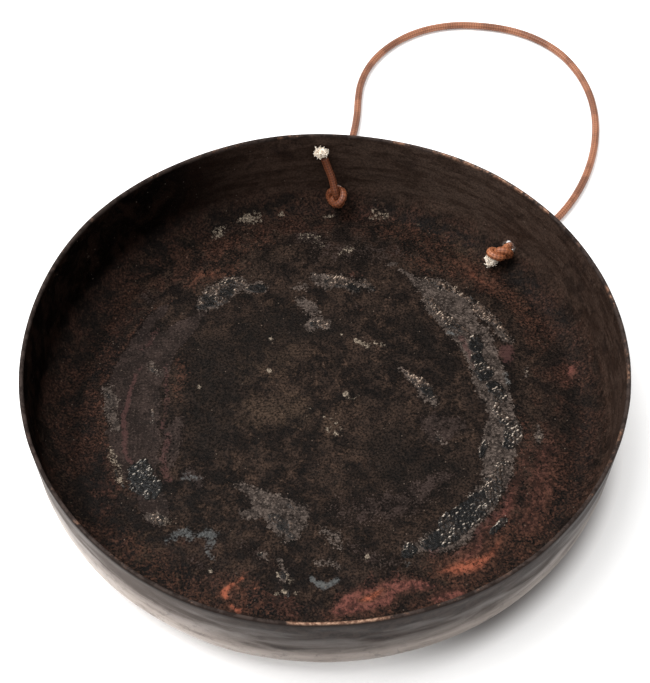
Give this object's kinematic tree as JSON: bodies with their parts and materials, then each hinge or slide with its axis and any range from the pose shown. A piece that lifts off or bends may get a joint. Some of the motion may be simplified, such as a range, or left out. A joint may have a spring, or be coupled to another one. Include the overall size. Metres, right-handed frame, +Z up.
{
  "type": "gold pan",
  "caption": "Shallow round sheet-metal pan with a steep wall and a flat floor, and a knotted hanging cord through two holes low in the wall.",
  "frame": {"origin": "centre of the flat underside of the pan, on the surface that the pan stands on", "axes": "+Z up out of the bowl along the pan's round axis; +Y towards the side that the cord loop lies on; +X to the right when looking along +Y"},
  "size_m": [0.271, 0.3811, 0.045],
  "materials": {
    "pan_metal": "old copper alloy, dark patina inside, dull silver-grey outside",
    "cord_fibre": "tan-brown waxed cotton cord",
    "frayed_cotton": "white cotton core, frayed open"
  },
  "bodies": {
    "pan": {"pan_shell": "pan_metal", "cord_in_left_hole": "cord_fibre", "cord_in_right_hole": "cord_fibre", "knot_left": "cord_fibre", "knot_right": "cord_fibre", "tail_left": "cord_fibre", "frayed_end_left": "frayed_cotton", "frayed_end_right": "frayed_cotton"},
    "loop": {"cord_loop": "cord_fibre"}
  },
  "joints": [
    {"name": "loop_swing", "type": "hinge", "parent": "pan", "child": "loop", "pos_m": [0.04929, 0.10691, 0.00747], "axis": [0.9081, -0.4187, 0], "range_deg": [0, 70]}
  ]
}
